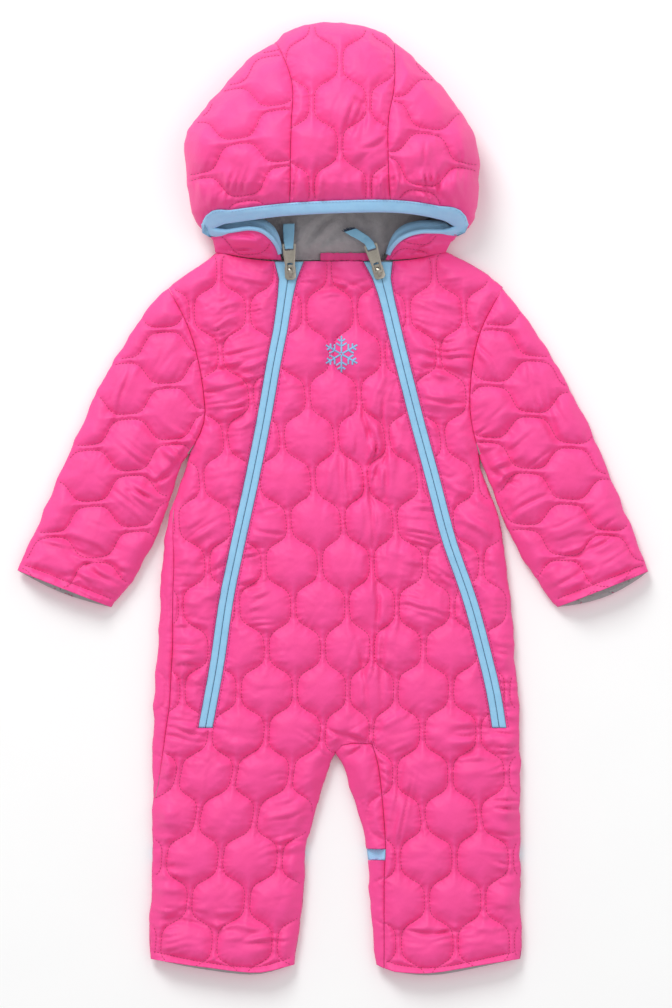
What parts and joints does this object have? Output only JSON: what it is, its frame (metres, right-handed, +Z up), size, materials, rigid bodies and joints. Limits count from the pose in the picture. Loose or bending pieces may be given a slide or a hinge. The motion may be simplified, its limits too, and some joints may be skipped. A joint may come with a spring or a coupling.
{
  "type": "baby snowsuit",
  "caption": "Quilted one-piece baby snowsuit with hood, two front zips with ribbon pulls and turned hems, laid flat on its back.",
  "frame": {"origin": "middle of the laid-out suit's bounding box, on the surface that it lies on", "axes": "+X across the suit towards the wearer's left sleeve, +Y from the feet to the hood, +Z up from the surface"},
  "size_m": [0.5484, 0.8266, 0.0834],
  "materials": {
    "shell": "slightly glossy woven polyamide",
    "tape": "matte woven zip tape",
    "binding": "matte stretch binding",
    "fleece": "matte brushed fleece",
    "nickel": "satin nickel plating"
  },
  "bodies": {
    "suit": {"front": "shell", "back": "shell", "sleeve_left": "shell", "sleeve_right": "shell", "hood_centre": "shell", "hood_side_left": "shell", "hood_side_right": "shell", "hood_binding": "binding", "hood_lining": "fleece", "neck_facing": "shell", "zip_left_tape_inner": "tape", "zip_left_tape_outer": "tape", "zip_right_tape_inner": "tape", "zip_right_tape_outer": "tape", "zip_left_slider": "nickel", "zip_right_slider": "nickel", "cuff_lining_left": "fleece", "cuff_lining_right": "fleece", "hem_lining_left": "fleece", "hem_lining_right": "fleece", "foot_flap_left": "shell", "foot_flap_right": "shell", "flap_binding_left": "binding", "flap_binding_right": "binding"},
    "pull_left": {"zip_left_pull": "nickel", "zip_left_ribbon": "binding"},
    "pull_right": {"zip_right_pull": "nickel", "zip_right_ribbon": "binding"}
  },
  "joints": [
    {"name": "left_pull_hinge", "type": "hinge", "parent": "suit", "child": "pull_left", "pos_m": [-0.0379, 0.197, 0.01927], "axis": [0.9986, 0.0523, 0], "range_deg": [0, 150]},
    {"name": "right_pull_hinge", "type": "hinge", "parent": "suit", "child": "pull_right", "pos_m": [0.0386, 0.1976, 0.01898], "axis": [0.9563, 0.2924, 0], "range_deg": [0, 150]}
  ]
}
